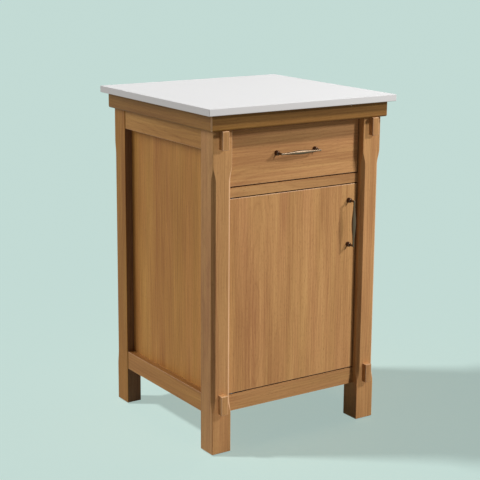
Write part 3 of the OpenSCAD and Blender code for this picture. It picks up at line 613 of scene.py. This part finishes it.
# columns of quads round a leg: 4, 5 and 6 are its right front corner, 3 its front
# face, 7 and 15 its right and left faces. The front legs' right front corner takes a
# painted highlight; the rear legs' inner faces take painted shade
rightCorner, shadedLeft, shadedRight = [4, 5, 6], [3, 7], [3, 15]
f, r = legs["frontChamfer"], legs["rearChamfer"]
legShell("legFrontLeft", "front_left_leg", (f, f, 0, 0), oakLeft, oakPaintedHighlight, rightCorner)
legShell("legFrontRight", "front_right_leg", (f, f, 0, 0), oakRight, oakPaintedHighlight, rightCorner)
# the rear legs' inner faces take painted shade
legShell("legRearLeft", "rear_left_leg", (0, 0, 0, r), oakRear, oakPaintedShade, shadedLeft)
legShell("legRearRight", "rear_right_leg", (0, 0, r, 0), oakRear, oakPaintedShade, shadedRight)
print("legs made")


# frame boards: rails run a little way into the legs, panels into their grooves
boards = {"railIn": 0.010, "panelEase": 0.0006}
legFront = nodeBox("front_left_leg")
legRear = nodeBox("rear_left_leg")
for side in ("Left", "Right"):
    for part, node in (("TopRail", "_top_rail"), ("LowerRail", "_lower_rail")):
        low, high = nodeBox(side.lower() + node)
        low[1] = legFront[1][1] - boards["railIn"]
        high[1] = legRear[0][1] + boards["railIn"]
        easedBoard("side" + part + side, low, high, "Y", oakDeep, stands=[side.lower() + node])
    low, high = nodeBox(side.lower() + "_panel")
    easedBoard("sidePanel" + side, low, high, "Z", oakSide, stands=[side.lower() + "_panel"],
               ease=boards["panelEase"])
low, high = nodeBox("back_lower_rail")
low[0], high[0] = legRear[1][0] - boards["railIn"], -legRear[1][0] + boards["railIn"]
easedBoard("backLowerRail", low, high, "X", oakAcross, stands=["back_lower_rail"])

# door and drawer front, flat and a little softer at the edges; the door's top and
# bottom ends take painted shade, which darkens the gaps above and below it
fronts = {"ease": 0.0015, "steps": 4}
low, high = nodeBox("door")
easedBoard("doorLeaf", low, high, "Z", oakDoor, "door_leaf", stands=["door"],
           ease=fronts["ease"], steps=fronts["steps"], endFinish=oakPaintedShade)
low, high = nodeBox("drawer_front")
easedBoard("drawerFace", low, high, "X", oakDrawer, "drawer", stands=["drawer_front"],
           ease=fronts["ease"], steps=fronts["steps"])

# blocks on the front legs, one at each side in a node; their backs lie in the leg
blocks = {"width": 0.020, "ease": 0.0016, "steps": 4, "hidden": 0.002}
for name, node in (("legBlocksUpper", "upper_blocks"), ("legBlocksLower", "lower_blocks")):
    low, high = nodeBox(node)
    shells = [easedRings((x, low[1], low[2]),
                         (x + blocks["width"], high[1] + blocks["hidden"], high[2]),
                         "Z", blocks["ease"], blocks["steps"])
              for x in (low[0], high[0] - blocks["width"])]
    # the blocks' eased edges take the painted highlight; the rest of both legs' blocks takes the
    # left leg's oak with its painted shade
    piece = skin(name, shells, oakLeft, "case", [node],
                 trims=[(oakPaintedHighlight, [easedMask(blocks["steps"])] * 2)])
    noShadow.objects.link(piece)
print("boards made")


# pulls: a bar that swells in the middle, on two turned posts with a round base and a
# thick foot. Lengths in metres; neck, belly, post, base and knob are radii
pull = {
    "spacing": 0.122,  # between the posts
    "reach": 0.0035,   # of the bar beyond them
    "neck": 0.0026, "belly": 0.0058, "bellyLength": 0.104,
    "standoff": 0.025,
    "post": 0.003, "postGap": 0.0005,  # it stops this short of the bar's middle line
    "base": 0.007, "baseTop": 0.0014, "baseEdge": 0.0003,
    "knob": 0.0062, "knobFrom": 0.0022, "knobLength": 0.011,
    "segments": 28, "roundSteps": 7, "swellSteps": 33,
    "capStart": 0.12,  # radians round the bar's ends where their small flats end
    "smooth": 50,
}


def turned(start, axis, distance, radius):
    # circles of the given radii round a straight axis
    start, axis = np.array(start, float), np.array(axis, float)
    other = np.array([0.0, 0.0, 1.0]) if abs(axis[2]) < 0.5 else np.array([1.0, 0.0, 0.0])
    u = np.cross(other, axis)
    v = np.cross(axis, u)
    t = np.linspace(0, 2 * math.pi, pull["segments"], endpoint=False)
    circle = np.cos(t)[:, None] * u + np.sin(t)[:, None] * v
    centres = start + np.array(distance)[:, None, None] * axis
    return centres + np.array(radius)[:, None, None] * circle


def pullShells(centre, axis):
    # bar radius: neck plus a full cosine swell over the belly's length, half spheres
    # at the ends; post radius: steps for base and foot, then a quarter circle in
    centre, axis = np.array(centre, float), np.array(axis, float)
    half = pull["spacing"] / 2 + pull["reach"]
    n = pull["neck"]
    cap = np.linspace(pull["capStart"], math.pi / 2, pull["roundSteps"])
    s = np.linspace(-0.5, 0.5, pull["swellSteps"])
    swell = n + (pull["belly"] - n) * (1 + np.cos(2 * math.pi * s)) / 2
    distance = np.concatenate([-half + n * (1 - np.cos(cap)), s * pull["bellyLength"],
                               half - n * (1 - np.cos(cap[::-1]))])
    radius = np.concatenate([n * np.sin(cap), swell, n * np.sin(cap[::-1])])
    shells = [turned(centre, axis, distance, radius)]
    face = centre + np.array([0, pull["standoff"], 0])
    b, k, p = pull["base"], pull["knob"], pull["post"]
    top, edge = pull["baseTop"], pull["baseEdge"]
    turn = np.linspace(0, math.pi / 2, pull["roundSteps"])
    height = np.concatenate([[0, edge, top - edge, top, pull["knobFrom"]],
                             pull["knobLength"] - (k - p) * (1 - np.sin(turn)),
                             [pull["standoff"] - pull["postGap"]]])
    radius = np.concatenate([[b - edge, b, b, b - edge, k], p + (k - p) * np.cos(turn), [p]])
    for end in (-1, 1):
        foot = face + axis * end * pull["spacing"] / 2
        shells.append(turned(foot, (0, -1, 0), height, radius))
    return shells


# antiqued pewter, cast and tumbled: dark in the posts, rubbed to a grey brown satin
# on the bar, which stands furthest from the door
antique = {
    "dark": "#533b2e", "rubbed": "#705d4c", "from": -0.246, "to": -0.259,
    "darkRoughness": 0.40, "rubbedRoughness": 0.46,
    "grit": 0.0006, "mottle": 0.3, "relief": 0.05,
}


def pewterMaterial(name):
    mat, tree, out = newMaterial(name)
    coord = addNode(tree, "ShaderNodeTexCoord")
    split = addNode(tree, "ShaderNodeSeparateXYZ", {}, {0: coord.outputs["Object"]})
    rub = addNode(tree, "ShaderNodeMapRange",
                  {"From Min": antique["from"], "From Max": antique["to"]},
                  {"Value": split.outputs["Y"]})
    speck = addNode(tree, "ShaderNodeTexNoise", {"Scale": 1 / antique["grit"], "Detail": 2.0},
                    {"Vector": coord.outputs["Object"]})
    mottle = antique["mottle"]
    patch = addNode(tree, "ShaderNodeMath",
                    {"operation": "MULTIPLY_ADD", 1: mottle, 2: -mottle / 2},
                    {0: speck.outputs["Fac"]})
    share = addNode(tree, "ShaderNodeMath", {"operation": "ADD", "use_clamp": True},
                    {0: rub.outputs[0], 1: patch.outputs[0]})
    colour = addNode(tree, "ShaderNodeValToRGB", {}, {0: share.outputs[0]})
    setRamp(colour, [(0.0, tone(antique["dark"])), (1.0, tone(antique["rubbed"]))])
    rough = addNode(tree, "ShaderNodeMapRange",
                    {"To Min": antique["darkRoughness"], "To Max": antique["rubbedRoughness"]},
                    {"Value": share.outputs[0]})
    bump = addNode(tree, "ShaderNodeBump",
                   {"Strength": antique["relief"], "Distance": antique["grit"] / 2},
                   {"Height": speck.outputs["Fac"]})
    bsdf = addNode(tree, "ShaderNodeBsdfPrincipled", {"Metallic": 1.0},
                   {"Base Color": colour.outputs[0], "Roughness": rough.outputs[0],
                    "Normal": bump.outputs[0]})
    tree.links.new(bsdf.outputs[0], out.inputs["Surface"])
    return mat


pewter = pewterMaterial("antiqued pewter")
for name, node, axis, body in (("drawerPull", "drawer_pull", (1, 0, 0), "drawer"),
                               ("doorPull", "door_pull", (0, 0, 1), "door_leaf")):
    low, high = nodeBox(node)
    centre = (low + high) / 2
    centre[1] = high[1] - pull["standoff"]
    piece = skin(name, pullShells(centre, axis), pewter, body, [node],
                 pull["smooth"])
    noShadow.objects.link(piece)

# only the low lamp draws the shadows of pulls and blocks, so they stay faint
for entry in noShadow.collection_objects:
    entry.light_linking.link_state = "EXCLUDE"
print("pulls made")

# birch plywood: pale rotary-cut faces under clear lacquer, with the plies' stripes,
# drawn on every edge as layers through the thickness of the board
plywood = {
    "face": "#dcc49b", "light": "#d3b586", "dark": "#a9814f",
    "ply": 0.0015,                              # metres, a light and a dark one by turns
    "start": 0.25,                              # of such a pair, where a board begins
    "stripes": ((0.0, "face"), (0.46, "light"), (0.54, "dark"), (0.94, "dark"), (1.0, "face")),
    "figureWidth": 0.006, "figureLength": 0.15,
    "shade": (0.88, 1.06),                      # brightness of the figure
    "relief": 0.08, "reliefDepth": 0.0002,
    "roughness": 0.5, "ior": 1.5,
}


def plywoodMaterial(node):
    # the thinnest way through the box is the thickness, the longest way is the grain
    low, high = nodeBox(node)
    size = high - low
    thin, long = int(np.argmin(size)), int(np.argmax(size))
    mat, tree, out = newMaterial("birch plywood, " + node.replace("_", " "))
    coord = addNode(tree, "ShaderNodeTexCoord")
    moved = addNode(tree, "ShaderNodeMapping", {"Location": (-low).tolist()},
                    {"Vector": coord.outputs["Object"]})
    split = addNode(tree, "ShaderNodeSeparateXYZ", {}, {0: moved.outputs[0]})
    depth = addNode(tree, "ShaderNodeMath",
                    {"operation": "MULTIPLY_ADD", 1: 0.5 / plywood["ply"], 2: plywood["start"]},
                    {0: split.outputs[thin]})
    layer = addNode(tree, "ShaderNodeMath", {"operation": "FRACT"}, {0: depth.outputs[0]})
    stretch = [1 / plywood["figureWidth"]] * 3
    stretch[long] = 1 / plywood["figureLength"]
    figure = addNode(tree, "ShaderNodeMapping", {"Scale": stretch},
                     {"Vector": moved.outputs[0]})
    grain = addNode(tree, "ShaderNodeTexNoise", {"Scale": 1.0, "Detail": 4.0, "Roughness": 0.6},
                    {"Vector": figure.outputs[0]})
    stripes = addNode(tree, "ShaderNodeValToRGB", {}, {0: layer.outputs[0]})
    setRamp(stripes, [(place, tone(plywood[key])) for place, key in plywood["stripes"]])
    shade = addNode(tree, "ShaderNodeMapRange",
                    {"From Min": noiseReach[0], "From Max": noiseReach[1],
                     "To Min": plywood["shade"][0], "To Max": plywood["shade"][1]},
                    {"Value": grain.outputs["Fac"]})
    colour = addNode(tree, "ShaderNodeHueSaturation", {},
                     {"Value": shade.outputs[0], "Color": stripes.outputs[0]})
    bump = addNode(tree, "ShaderNodeBump",
                   {"Strength": plywood["relief"], "Distance": plywood["reliefDepth"]},
                   {"Height": grain.outputs["Fac"]})
    bsdf = addNode(tree, "ShaderNodeBsdfPrincipled",
                   {"Roughness": plywood["roughness"], "IOR": plywood["ior"]},
                   {"Base Color": colour.outputs[0], "Normal": bump.outputs[0]})
    tree.links.new(bsdf.outputs[0], out.inputs["Surface"])
    return mat


# every node that shows as it is gets the finish of its slot
slotOf = {s["node"]: s["material_slot"] for s in frame["record"]["subparts"]}
finishOf = {"zinc_steel": zinc, "dark_pewter": pewter, "nylon": nylon, "quartz": quartz,
            "oak": oakRail}
for name, node in nodes.items():
    slot = slotOf[name]
    finish = plywoodMaterial(name) if slot == "birch_ply" else finishOf[slot]
    if name.startswith("pivot"):
        finish = dullZinc
    node.data.materials.clear()
    node.data.materials.append(finish)
print("case dressed")
